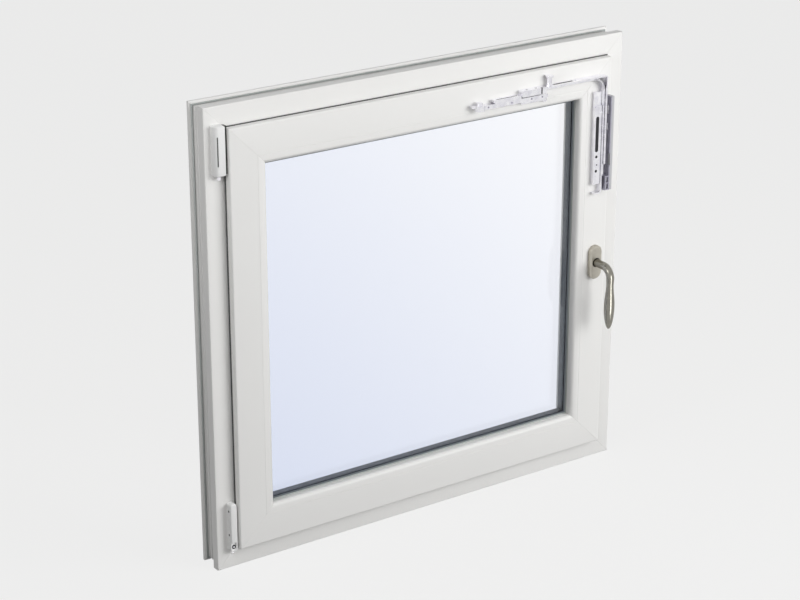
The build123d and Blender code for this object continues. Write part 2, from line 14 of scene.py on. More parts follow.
import bmesh
import bpy
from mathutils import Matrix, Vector

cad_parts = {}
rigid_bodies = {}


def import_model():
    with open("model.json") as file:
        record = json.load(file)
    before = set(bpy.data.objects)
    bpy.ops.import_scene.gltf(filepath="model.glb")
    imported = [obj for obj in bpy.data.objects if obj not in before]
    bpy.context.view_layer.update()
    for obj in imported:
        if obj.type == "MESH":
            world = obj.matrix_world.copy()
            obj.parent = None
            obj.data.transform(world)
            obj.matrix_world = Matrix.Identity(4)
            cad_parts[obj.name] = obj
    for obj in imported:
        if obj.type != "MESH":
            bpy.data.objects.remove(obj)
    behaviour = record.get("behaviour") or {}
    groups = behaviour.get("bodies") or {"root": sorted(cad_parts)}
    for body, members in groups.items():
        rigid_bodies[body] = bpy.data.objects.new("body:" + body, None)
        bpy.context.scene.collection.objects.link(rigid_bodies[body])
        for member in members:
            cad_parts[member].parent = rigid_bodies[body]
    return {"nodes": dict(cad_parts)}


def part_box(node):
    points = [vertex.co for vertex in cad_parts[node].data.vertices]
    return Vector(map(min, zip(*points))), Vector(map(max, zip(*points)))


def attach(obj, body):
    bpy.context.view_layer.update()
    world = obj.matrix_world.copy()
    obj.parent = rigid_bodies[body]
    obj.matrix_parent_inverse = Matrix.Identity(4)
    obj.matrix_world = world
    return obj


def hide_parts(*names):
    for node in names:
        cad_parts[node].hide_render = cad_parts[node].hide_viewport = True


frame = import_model()

LOG = logging.getLogger("window")
MM = 0.001

Colour = tuple[float, float, float]
Place = tuple[float, float, float]

# The place that the camera and most lamps point at.
AIM: Place = (-0.058, -0.0085, 0.465)


class Body(Enum):
    """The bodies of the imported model."""

    WINDOW = "window"
    HANDLE = "handle"


class Slot(Enum):
    """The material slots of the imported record."""

    PVC = "white_pvc"
    CAP = "white_cap"
    GLASS = "glass"
    SPACER = "spacer"
    GASKET = "gasket"
    NICKEL = "handle_metal"
    COLLAR = "collar_plastic"
    ZINC = "zinc"
    KEEP = "keep_grey"
    BACKING = "keep_light"


class Facing(Enum):
    """Directions that a fastener's head can face."""

    ROOM = (0.0, -1.0, 0.0)
    LEFT = (-1.0, 0.0, 0.0)
    RIGHT = (1.0, 0.0, 0.0)
    UP = (0.0, 0.0, 1.0)


class NodeGraph:
    """A node tree while it is being built."""

    def __init__(self, tree: bpy.types.NodeTree) -> None:
        """Takes the tree that the nodes go into."""
        self.tree = tree

    def add(
        self, kind: str, *values: object, settings: dict | None = None, **inputs: object
    ) -> bpy.types.Node:
        """Adds a node and fills or joins its inputs.

        Args:
            kind: Blender's type name of the node.
            values: values or sockets in the order of the inputs.
            settings: attributes of the node itself.
            inputs: values or sockets by input name, with underscores for spaces.

        Returns:
            The new node.
        """
        node = self.tree.nodes.new(kind)
        for key, value in (settings or {}).items():
            setattr(node, key, value)
        for socket, value in zip(node.inputs, values):
            self.feed(socket, value)
        for key, value in inputs.items():
            self.feed(node.inputs[key.replace("_", " ")], value)
        return node

    def feed(self, socket: bpy.types.NodeSocket, value: object) -> None:
        """Sets an input to a value, or joins it to another node's output.

        Args:
            socket: the input.
            value: a plain value or an output socket.
        """
        if isinstance(value, bpy.types.NodeSocket):
            self.tree.links.new(value, socket)
        else:
            socket.default_value = value

    def blend(
        self, share: bpy.types.NodeSocket, first: object, second: object
    ) -> bpy.types.NodeSocket:
        """Mixes two colours.

        Args:
            share: how much of the second colour shows.
            first: colour or colour socket at share 0.
            second: colour or colour socket at share 1.

        Returns:
            The mixed colour as a socket.
        """
        node = self.add("ShaderNodeMix", settings={"data_type": "RGBA"})
        self.feed(node.inputs[0], share)
        for index, colour in ((6, first), (7, second)):
            self.feed(node.inputs[index], (*colour, 1) if isinstance(colour, tuple) else colour)
        return node.outputs[2]

    def rays(self) -> tuple[bpy.types.NodeSocket, bpy.types.NodeSocket, bpy.types.NodeSocket]:
        """Tells the kinds of ray apart.

        Returns:
            Shares for the camera's rays, for these and mirrored ones, and for those through glass.
        """
        path = self.add("ShaderNodeLightPath").outputs
        camera, mirrored = path["Is Camera Ray"], path["Is Glossy Ray"]
        either = self.add("ShaderNodeMath", camera, mirrored, settings={"operation": "MAXIMUM"})
        return camera, either.outputs[0], path["Is Transmission Ray"]


class ShaderGraph(NodeGraph):
    """The node tree of one material."""

    noise_low = 0.3
    noise_high = 0.7

    def __init__(self, name: str) -> None:
        """Starts an empty material.

        Args:
            name: name of the material.
        """
        self.material = bpy.data.materials.new(name)
        self.material.use_nodes = True
        super().__init__(self.material.node_tree)
        self.tree.nodes.clear()
        self.output = self.add("ShaderNodeOutputMaterial")
        self.place = self.add("ShaderNodeTexCoord").outputs["Object"]

    def noise(self, scale: float, detail: float = 2.0, stretch: Place = (1, 1, 1)) -> bpy.types.NodeSocket:
        """Adds a noise on the piece's own coordinates.

        Args:
            scale: features for each metre.
            detail: octaves of finer noise.
            stretch: factor on each axis, below 1 where the features are long.

        Returns:
            The noise as a socket from 0 to 1.
        """
        mapped = self.add("ShaderNodeMapping", Vector=self.place, Scale=stretch).outputs[0]
        node = self.add("ShaderNodeTexNoise", Vector=mapped, Scale=scale, Detail=detail)
        return node.outputs["Fac"]

    def between(self, share: bpy.types.NodeSocket, low: float, high: float) -> bpy.types.NodeSocket:
        """Spreads the shares where noise mostly lies from a low to a high value."""
        node = self.add("ShaderNodeMapRange", share, self.noise_low, self.noise_high, low, high)
        return node.outputs["Result"]

    def relief(self, height: bpy.types.NodeSocket, depth: float) -> bpy.types.NodeSocket:
        """Gives the normal of a bump from a height as a share, with its depth in metres."""
        return self.add("ShaderNodeBump", Height=height, Distance=depth).outputs["Normal"]

    def close(self, shader: bpy.types.NodeSocket) -> bpy.types.Material:
        """Joins the shader to the output and gives the finished material."""
        self.tree.links.new(shader, self.output.inputs["Surface"])
        return self.material


@dataclass(frozen=True)
class Moulded:
    """Moulded plastic or rubber: even colour, a fine grain and a soft shine."""

    name: str
    colour: Colour
    shade: Colour
    rough_low: float
    rough_high: float
    grain: float = 1400.0
    grain_depth: float = 0.00003
    shine: float = 0.5
    ior: float = 1.5
    cloud_scale: float = 6.0
    cloud_detail: float = 3.0

    def build(self) -> bpy.types.Material:
        """Makes the material.

        Returns:
            The finished material.
        """
        graph = ShaderGraph(self.name)
        cloud = graph.noise(self.cloud_scale, self.cloud_detail)
        grain = graph.noise(self.grain)
        shader = graph.add(
            "ShaderNodeBsdfPrincipled",
            Base_Color=graph.blend(cloud, self.shade, self.colour),
            Roughness=graph.between(grain, self.rough_low, self.rough_high),
            Normal=graph.relief(grain, self.grain_depth),
            Specular_IOR_Level=self.shine,
            IOR=self.ior,
        )
        return graph.close(shader.outputs[0])


@dataclass(frozen=True)
class Metal:
    """Plated or brushed metal: tone clouds, fine drawn lines and patchy roughness."""

    name: str
    colour: Colour
    shade: Colour
    rough_low: float
    rough_high: float
    stretch: Place = (1.0, 1.0, 0.06)
    line_scale: float = 2600.0
    line_depth: float = 0.00001
    cloud_scale: float = 90.0
    cloud_detail: float = 3.0
    metallic: float = 1.0

    def build(self) -> bpy.types.Material:
        """Makes the material.

        Returns:
            The finished material.
        """
        graph = ShaderGraph(self.name)
        cloud = graph.between(graph.noise(self.cloud_scale, self.cloud_detail), 0.0, 1.0)
        lines = graph.noise(self.line_scale, stretch=self.stretch)
        shader = graph.add(
            "ShaderNodeBsdfPrincipled",
            Base_Color=graph.blend(cloud, self.shade, self.colour),
            Roughness=graph.between(lines, self.rough_low, self.rough_high),
            Normal=graph.relief(lines, self.line_depth),
            Metallic=self.metallic,
        )
        return graph.close(shader.outputs[0])


@dataclass(frozen=True)
class Pane:
    """Clear glass with a cool tint, whose fade from the lower left to the upper right is a painted
    reflection.
    """

    name: str
    shaded_reflection_tint: Colour
    lit_reflection_tint: Colour
    low_corner: Place
    high_corner: Place
    ior: float = 1.45

    def build(self) -> bpy.types.Material:
        """Makes the material. Rays from the lamps pass straight through it.

        Returns:
            The finished material.
        """
        graph = ShaderGraph(self.name)
        low = Vector(self.low_corner)
        span = Vector(self.high_corner) - low
        step = tuple(span / span.length_squared)
        kind = "ShaderNodeVectorMath"
        offset = graph.add(kind, graph.place, tuple(low), settings={"operation": "SUBTRACT"})
        along = graph.add(kind, offset.outputs[0], step, settings={"operation": "DOT_PRODUCT"})
        shader = graph.add(
            "ShaderNodeBsdfPrincipled",
            # The colour fades from the shaded to the lit tint across the pane: painted reflection of the
            # studio light.
            Base_Color=graph.blend(along.outputs["Value"], self.shaded_reflection_tint, self.lit_reflection_tint),
            Transmission_Weight=1.0,
            Roughness=0.0,
            IOR=self.ior,
        )
        clear = graph.add("ShaderNodeBsdfTransparent")
        shadow = graph.add("ShaderNodeLightPath").outputs["Is Shadow Ray"]
        mix = graph.add("ShaderNodeMixShader", shadow, shader.outputs[0], clear.outputs[0])
        return graph.close(mix.outputs[0])


@dataclass(frozen=True)
class Coat:
    """A finish, with the record's slot that it belongs to."""

    slot: Slot
    material: bpy.types.Material


class Finishes:
    """Every finish on the window, built once."""

    def __init__(self, pane_low: Place, pane_high: Place) -> None:
        """Builds the materials.

        Args:
            pane_low: lower left corner of the glass.
            pane_high: upper right corner of the glass.
        """
        recipes = {
            Slot.PVC: Moulded("pvc_profile", (0.86, 0.855, 0.84), (0.835, 0.83, 0.815), 0.30, 0.40),
            Slot.CAP: Moulded(
                "cap_plastic", (0.88, 0.88, 0.875), (0.85, 0.85, 0.845), 0.22, 0.32, 2200.0
            ),
            Slot.GASKET: Moulded(
                "seal_rubber", (0.47, 0.50, 0.49), (0.41, 0.44, 0.43), 0.45, 0.6, 900.0, 0.00008
            ),
            # Near black plastic: real for the collar and the upper link, and also painted shade of the
            # gaps they sit in.
            Slot.COLLAR: Moulded(
                "dark_plastic", (0.022, 0.022, 0.020), (0.016, 0.016, 0.015), 0.35, 0.5
            ),
            Slot.BACKING: Moulded("keep_pad", (0.52, 0.52, 0.54), (0.47, 0.47, 0.49), 0.45, 0.6),
            Slot.NICKEL: Metal(
                "satin_nickel", (0.30, 0.288, 0.252), (0.255, 0.244, 0.214), 0.16, 0.24
            ),
            Slot.ZINC: Metal(
                "bright_zinc", (0.98, 0.975, 1.0), (0.82, 0.81, 0.87), 0.12, 0.22, (1, 1, 1), 700.0,
                cloud_scale=70.0,
            ),
            Slot.KEEP: Metal(
                "grey_zinc", (0.47, 0.455, 0.54), (0.38, 0.37, 0.44), 0.35, 0.5, (1, 1, 1), 900.0,
                metallic=0.55,
            ),
            Slot.SPACER: Metal(
                "spacer_bar", (0.12, 0.135, 0.15), (0.09, 0.10, 0.11), 0.35, 0.5, (1, 1, 1), 1500.0
            ),
            # The glass's two tints paint a reflection that fades across the pane.
            Slot.GLASS: Pane("float_glass", (0.83, 0.86, 0.935), (0.995, 0.998, 1.0), pane_low, pane_high),
        }
        self.by_slot = {slot: Coat(slot, recipe.build()) for slot, recipe in recipes.items()}
        rosette = Metal(
            "matt_nickel", (0.56, 0.53, 0.46), (0.48, 0.452, 0.392), 0.32, 0.42, metallic=0.85
        )
        lip = Moulded(
            "glazing_lip_rubber", (0.17, 0.195, 0.215), (0.14, 0.16, 0.18), 0.4, 0.55, 900.0, 0.00005
        )
        # Near black: the real sealant, and also the painted shade in holes, slots and the hinge pot.
        black = Moulded("sealant", (0.012, 0.013, 0.015), (0.009, 0.010, 0.012), 0.4, 0.6)
        # Dark seal rubber: the real seals, and also the painted shade of the cap's slot and the sash's
        # gap.
        seal = Moulded(
            "sash_seal_rubber", (0.085, 0.088, 0.087), (0.065, 0.068, 0.067), 0.5, 0.7, 900.0, 0.00008
        )
        self.rosette = Coat(Slot.NICKEL, rosette.build())
        self.lip = Coat(Slot.GASKET, lip.build())
        self.black = Coat(Slot.COLLAR, black.build())
        self.sash_seal = Coat(Slot.GASKET, seal.build())

    def __getitem__(self, slot: Slot) -> Coat:
        """Gives the finish of a slot."""
        return self.by_slot[slot]


def in_scene(name: str, data: bpy.types.ID) -> bpy.types.Object:
    """Makes an object in the scene.

    Args:
        name: name of the object.
        data: its mesh, lamp or camera.

    Returns:
        The new object.
    """
    thing = bpy.data.objects.new(name, data)
    bpy.context.scene.collection.objects.link(thing)
    return thing


def keep_piece(
    name: str, mesh: bpy.types.Mesh, coat: Coat, body: Body = Body.WINDOW
) -> bpy.types.Object:
    """Puts a finished mesh in the scene as a piece that rides on a body.

    Args:
        name: name of the piece.
        mesh: its mesh, in place.
        coat: its finish.
        body: the body it moves with.

    Returns:
        The new object.
    """
    mesh.materials.clear()
    mesh.materials.append(coat.material)
    piece = in_scene(name, mesh)
    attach(piece, body.value)
    LOG.info("%s: %d faces on %s", name, len(mesh.polygons), body.value)
    return piece


def smoothed(shape: bmesh.types.BMesh, name: str, sharp_from: float) -> bpy.types.Mesh:
    """Turns a shape into a mesh with smooth faces.

    Args:
        shape: the shape, which is freed.
        name: name of the mesh.
        sharp_from: angle in degrees from which an edge stays sharp.

    Returns:
        The mesh.
    """
    mesh = bpy.data.meshes.new(name)
    shape.to_mesh(mesh)
    shape.free()
    mesh.polygons.foreach_set("use_smooth", [True] * len(mesh.polygons))
    mesh.set_sharp_from_angle(angle=math.radians(sharp_from))
    return mesh


def skin(shape: bmesh.types.BMesh, rings: list[list[bmesh.types.BMVert]]) -> None:
    """Joins each ring of points to the next one with a band of faces.

    Args:
        shape: the shape that holds the points.
        rings: rings of the same number of points, from one end to the other.
    """
    for lower, upper in zip(rings, rings[1:]):
        for step, corner in enumerate(lower):
            after = (step + 1) % len(lower)
            shape.faces.new((corner, lower[after], upper[after], upper[step]))


@dataclass
class Edge:
    """How fine the edges of a refined solid are, with angles in degrees."""

    width: float
    segments: int = 2
    profile: float = 0.5
    sharp_from: float = 28.0
    shaded_from: float = 20.0
    flat: float = 0.4
    weld: float = 0.002 * MM


def refined(node: str, coat: Coat, edge: Edge) -> None:
    """Stands a copy with softened edges in for a CAD node of the window.

    Args:
        node: name of the CAD node.
        coat: its finish.
        edge: how wide and how fine the softened edges are.
    """
    shell = bmesh.new()
    shell.from_mesh(frame["nodes"][node].data)
    bmesh.ops.remove_doubles(shell, verts=shell.verts, dist=edge.weld)
    bmesh.ops.dissolve_limit(
        shell,
        angle_limit=math.radians(edge.flat),
        use_dissolve_boundaries=False,
        verts=shell.verts,
        edges=shell.edges,
    )
    sharp = math.radians(edge.sharp_from)
    bmesh.ops.bevel(
        shell,
        geom=[line for line in shell.edges if line.is_manifold and line.calc_face_angle() > sharp],
        offset=edge.width,
        segments=edge.segments,
        profile=edge.profile,
        affect="EDGES",
        clamp_overlap=True,
    )
    mesh = smoothed(shell, node + "_finished", edge.shaded_from)
    piece = keep_piece(node + "_finished", mesh, coat)
    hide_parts(node)


def dress(node: str, coat: Coat) -> None:
    """Gives a CAD node that stays in view its finish.

    Args:
        node: name of the CAD node.
        coat: its finish.
    """
    mesh = frame["nodes"][node].data
    mesh.materials.clear()
    mesh.materials.append(coat.material)
    LOG.info("%s: dressed with %s", node, coat.material.name)


class GeometryTree(NodeGraph):
    """A Geometry Nodes tree with named sizes, and the pieces that are made with it."""

    def __init__(self, name: str) -> None:
        """Starts an empty tree.

        Args:
            name: name of the tree.
        """
        super().__init__(bpy.data.node_groups.new(name, "GeometryNodeTree"))
        self.tree.interface.new_socket(
            name="Geometry", in_out="OUTPUT", socket_type="NodeSocketGeometry"
        )
        self.entry = self.add("NodeGroupInput")
        self.exit = self.add("NodeGroupOutput")
        self.identifiers: dict[str, str] = {}
        self.size("Material", "NodeSocketMaterial")

    def size(self, name: str, kind: str = "NodeSocketFloat") -> bpy.types.NodeSocket:
        """Adds a named input.

        Args:
            name: name of the input.
            kind: type name of its socket.

        Returns:
            The socket that gives its value inside the tree.
        """
        item = self.tree.interface.new_socket(name=name, in_out="INPUT", socket_type=kind)
        self.identifiers[name] = item.identifier
        return self.entry.outputs[name]

    def loop(self) -> bpy.types.NodeSocket:
        """Adds an upright rectangle with the inputs Width and Height.

        Returns:
            The rectangle as a curve.
        """
        width, height = self.size("Width"), self.size("Height")
        flat = self.add("GeometryNodeCurvePrimitiveQuadrilateral", Width=width, Height=height)
        quarter = (math.pi / 2, 0, 0)
        return self.add("GeometryNodeTransform", Geometry=flat.outputs[0], Rotation=quarter).outputs[0]

    def in_rows(self, shape: bpy.types.NodeSocket) -> bpy.types.NodeSocket:
        """Repeats a shape in rows, with the inputs Middle, Front, Rows and Row gap.

        Args:
            shape: what each row holds.

        Returns:
            The rows as instances.
        """
        middle, front = self.size("Middle"), self.size("Front")
        rows, gap = self.size("Rows", "NodeSocketInt"), self.size("Row gap")
        start = self.add("ShaderNodeCombineXYZ", Y=front, Z=middle).outputs[0]
        step = self.add("ShaderNodeCombineXYZ", Y=gap).outputs[0]
        line = self.add("GeometryNodeMeshLine", Count=rows, Start_Location=start, Offset=step)
        laid = self.add("GeometryNodeInstanceOnPoints", Points=line.outputs[0], Instance=shape)
        return laid.outputs[0]

    def close(self, geometry: bpy.types.NodeSocket) -> None:
        """Ends the tree: instances become real and take the material.

        Args:
            geometry: the geometry that the tree has made.
        """
        real = self.add("GeometryNodeRealizeInstances", Geometry=geometry).outputs[0]
        material = self.entry.outputs["Material"]
        finish = self.add("GeometryNodeSetMaterial", Geometry=real, Material=material)
        self.tree.links.new(finish.outputs[0], self.exit.inputs[0])

    def mesh(self, name: str, material: bpy.types.Material, values: dict[str, object]) -> bpy.types.Mesh:
        """Runs the tree and gives its result as a plain mesh.

        Args:
            name: name of the mesh.
            material: the finish.
            values: the tree's inputs by name.

        Returns:
            The mesh, with no modifier and no instances.
        """
        host = in_scene(name + "_host", bpy.data.meshes.new(name + "_host"))
        modifier = host.modifiers.new("tree", "NODES")
        modifier.node_group = self.tree
        for key, value in {"Material": material, **values}.items():
            modifier[self.identifiers[key]] = value
        bpy.context.view_layer.update()
        depsgraph = bpy.context.evaluated_depsgraph_get()
        made = bpy.data.meshes.new_from_object(host.evaluated_get(depsgraph))
        made.name = name
        host.modifiers.remove(modifier)
        bpy.data.objects.remove(host)
        return made


def ring_tree() -> GeometryTree:
    """Makes the tree that runs rows of a thin eight sided bead round a rectangle.

    Returns:
        The tree, with the inputs of its loop and its rows, and Radius.
    """
    tree = GeometryTree("bead_rows")
    rows = tree.in_rows(tree.loop())
    real = tree.add("GeometryNodeRealizeInstances", Geometry=rows).outputs[0]
    radius = tree.size("Radius")
    section = tree.add("GeometryNodeCurvePrimitiveCircle", Resolution=8, Radius=radius)
    tree.close(
        tree.add("GeometryNodeCurveToMesh", Curve=real, Profile_Curve=section.outputs["Curve"]).outputs[0]
    )
    return tree


def dot_tree() -> GeometryTree:
    """Makes the tree that sets small round dots at an even pitch round a rectangle.

    Returns:
        The tree, with the inputs of its loop and its rows, Pitch and Radius.
    """
    tree = GeometryTree("dot_rows")
    loop, pitch, radius = tree.loop(), tree.size("Pitch"), tree.size("Radius")
    points = tree.add(
        "GeometryNodeCurveToPoints", settings={"mode": "LENGTH"}, Curve=loop, Length=pitch
    )
    ball = tree.add("GeometryNodeMeshIcoSphere", Radius=radius, Subdivisions=1)
    row = tree.add("GeometryNodeInstanceOnPoints", Points=points.outputs[0], Instance=ball.outputs[0])
    tree.close(tree.in_rows(row.outputs[0]))
    return tree


def fastener_tree() -> GeometryTree:
    """Makes the tree that sets one head on each place, turned to face the way it says.

    Returns:
        The tree, with the inputs Places, Head and Scale.
    """
    tree = GeometryTree("fasteners")
    places, head = tree.size("Places", "NodeSocketObject"), tree.size("Head", "NodeSocketObject")
    scale = tree.size("Scale")
    spots = tree.add("GeometryNodeObjectInfo", Object=places).outputs["Geometry"]
    shape = tree.add("GeometryNodeObjectInfo", Object=head).outputs["Geometry"]
    vector = {"data_type": "FLOAT_VECTOR"}
    way = tree.add("GeometryNodeInputNamedAttribute", settings=vector, Name="facing").outputs[0]
    turn = tree.add("FunctionNodeAlignRotationToVector", settings={"axis": "Z"}, Vector=way)
    laid = tree.add(
        "GeometryNodeInstanceOnPoints",
        Points=tree.add("GeometryNodeMeshToPoints", Mesh=spots).outputs[0],
        Instance=shape,
        Rotation=turn.outputs[0],
        Scale=scale,
    )
    tree.close(laid.outputs[0])
    return tree


@dataclass
class Loop:
    """An upright rectangle in the window that a bead or a row of holes follows."""

    width: float
    height: float
    middle: float
    front: float
    rows: int = 1
    row_gap: float = 0.0

    def lay(self, tree: GeometryTree, name: str, coat: Coat, sizes: dict[str, float]) -> None:
        """Runs a tree round the rectangle and keeps what it makes.

        Args:
            tree: the tree that makes the bead or the holes.
            name: name of the piece.
            coat: its finish.
            sizes: the tree's other inputs by name.
        """
        values = {
            "Width": self.width,
            "Height": self.height,
            "Middle": self.middle,
            "Front": self.front,
            "Rows": self.rows,
            "Row gap": self.row_gap,
        }
        keep_piece(name, tree.mesh(name, coat.material, values | sizes), coat)


@dataclass(frozen=True)
class Insert:
    """A bar with round ends that fills a slot, such as a slide or a dark bar of painted shade in a deep
    slot.
    """

    length: float
    width: float
    thickness: float
    end_steps: int = 10
    edge: float = 0.2 * MM
    sharp_from: float = 40.0

    def put(self, name: str, face: Place, facing: Facing, coat: Coat) -> None:
        """Builds the bar in place. It lies across where it faces up and is upright elsewhere.

        Args:
            name: name of the piece.
            face: middle of the bar's face.
            facing: the direction of its face.
            coat: its finish.
        """
        run = Vector((1, 0, 0)) if facing is Facing.UP else Vector((0, 0, 1))
        out = Vector(facing.value)
        side = out.cross(run)
        radius = self.width / 2
        straight = self.length / 2 - radius
        outline = []
        for end in (1, -1):
            for step in range(self.end_steps + 1):
                angle = math.pi * (step / self.end_steps - 0.5)
                spoke = run * math.cos(angle) + side * math.sin(angle)
                outline.append(Vector(face) + (run * straight + spoke * radius) * end)
        shape = bmesh.new()
        top = [shape.verts.new(point) for point in outline]
        base = [shape.verts.new(point - out * self.thickness) for point in outline]
        shape.faces.new(top)
        shape.faces.new(reversed(base))
        skin(shape, [base, top])
        bmesh.ops.recalc_face_normals(shape, faces=shape.faces)
        rim = [line for line in shape.edges if line.verts[0] in top and line.verts[1] in top]
        bmesh.ops.bevel(shape, geom=rim, offset=self.edge, segments=2, profile=0.5, affect="EDGES")
        keep_piece(name, smoothed(shape, name, self.sharp_from), coat)


@dataclass
class Head:
    """A screw or rivet head of unit radius that stands on its origin and faces up."""

    sides: int = 18
    dome: float = 0.35
    seat: float = -0.5
    shoulder: float = 0.35
    brow_reach: float = 0.86
    brow_rise: float = 0.8
    crown: float = 0.5
    socket: float = 0.0
    socket_rim: float = 1.15
    socket_lip: float = 0.03
    socket_depth: float = 0.45
    lobe: float = 0.74
    lobe_sides: int = 3
    sharp_from: float = 35.0

    def mesh(self, name: str) -> bpy.types.Mesh:
        """Builds the closed head, with a six lobed socket where it has one.

        Args:
            name: name of the mesh.

        Returns:
            The mesh.
        """
        rings = [(1.0, self.seat), (1.0, self.shoulder * self.dome)]
        rings.append((self.brow_reach, self.brow_rise * self.dome))
        rings.append((max(self.crown, self.socket_rim * self.socket), self.dome))
        lobed = len(rings)
        if self.socket:
            rings.append((self.socket, self.dome - self.socket_lip))
            rings.append((self.socket, self.dome - self.socket_depth))
        shape = bmesh.new()
        made = []
        for index, (radius, height) in enumerate(rings):
            made.append([])
            for side in range(self.sides):
                swing = (1 + math.cos(math.tau * side / self.lobe_sides)) / 2
                wave = self.lobe + (1 - self.lobe) * swing
                reach = radius * (wave if index >= lobed else 1.0)
                angle = math.tau * side / self.sides
                point = (reach * math.cos(angle), reach * math.sin(angle), height)
                made[-1].append(shape.verts.new(point))
        skin(shape, made)
        shape.faces.new(made[-1])
        shape.faces.new(reversed(made[0]))
        bmesh.ops.recalc_face_normals(shape, faces=shape.faces)
        return smoothed(shape, name, self.sharp_from)


class FastenerKit:
    """Sets rows of screws and rivets with one tree."""

    def __init__(self) -> None:
        """Builds the tree and the three kinds of head."""
        self.tree = fastener_tree()
        self.screw = Head(socket=0.5)
        self.rivet = Head(dome=0.5, sides=20)
        self.plug = Head(dome=0.12, seat=-0.3)

    def set(
        self,
        name: str,
        head: Head,
        radius: float,
        places: list[tuple[Place, Facing]],
        coat: Coat,
    ) -> None:
        """Makes one piece that holds a head on every place.

        Args:
            name: name of the piece.
            head: the kind of head.
            radius: radius of the heads in metres.
            places: the foot of each head and the way it faces.
            coat: their finish.
        """
        spots = bpy.data.meshes.new(name + "_places")
        spots.from_pydata([place for place, _ in places], [], [])
        facing = spots.attributes.new("facing", "FLOAT_VECTOR", "POINT")
        facing.data.foreach_set("vector", [n for _, way in places for n in way.value])
        helpers = [in_scene(mesh.name, mesh) for mesh in (spots, head.mesh(name + "_head"))]
        values = {"Places": helpers[0], "Head": helpers[1], "Scale": radius}
        made = self.tree.mesh(name, coat.material, values)
        for helper in helpers:
            bpy.data.objects.remove(helper)
        keep_piece(name, made, coat)


@dataclass
class Profiles:
    """The welded bars of the frame and the sash, the clipped beads, and the fixing groove."""

    finishes: Finishes
    bar_edge: float = 0.45 * MM
    bead_edge: float = 0.6 * MM
    rib_radius: float = 0.8 * MM
    rib_rows: int = 3
    rib_pitch: float = 9.0 * MM
    groove_floor: float = 8.0 * MM
    groove_front: float = 17.0 * MM
    groove_inset: float = 8.5 * MM
    groove_width: float = 35.0 * MM
    groove_shade_radius: float = 2.0 * MM

    def build(self) -> None:
        """Dresses every bar, and lays the ribs and a grey cord of painted shade in the fixing groove."""
        pvc = self.finishes[Slot.PVC]
        for node in sorted(frame["nodes"]):
            if node.startswith(("frame_", "sash_")):
                refined(node, pvc, Edge(width=self.bar_edge))
            elif node.startswith("bead_"):
                refined(node, pvc, Edge(width=self.bead_edge))
        ribs = self.groove(self.groove_floor, self.groove_inset, self.rib_rows)
        ribs.lay(ring_tree(), "fixing_groove_ribs", pvc, {"Radius": self.rib_radius})
        # A grey cord in the groove's corner stands for the shadow on the groove floor: painted shade.
        grey = self.finishes[Slot.GASKET]
        groove_shade = self.groove(self.groove_floor - self.groove_shade_radius, self.groove_width - self.groove_shade_radius, 1)
        groove_shade.lay(ring_tree(), "fixing_groove_cord", grey, {"Radius": self.groove_shade_radius})

    def groove(self, depth: float, behind: float, rows: int) -> Loop:
        """Gives a loop round the outside of the frame, in the fixing groove.

        Args:
            depth: how far inside the frame's outline it lies.
            behind: how far behind the groove's front edge it lies.
            rows: how many rows there are.

        Returns:
            The loop.
        """
        low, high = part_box("frame_sill")
        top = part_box("frame_head")[1].z
        width, height = high.x - low.x - 2 * depth, top - low.z - 2 * depth
        front = low.y + self.groove_front + behind
        return Loop(width, height, (top + low.z) / 2, front, rows, self.rib_pitch)


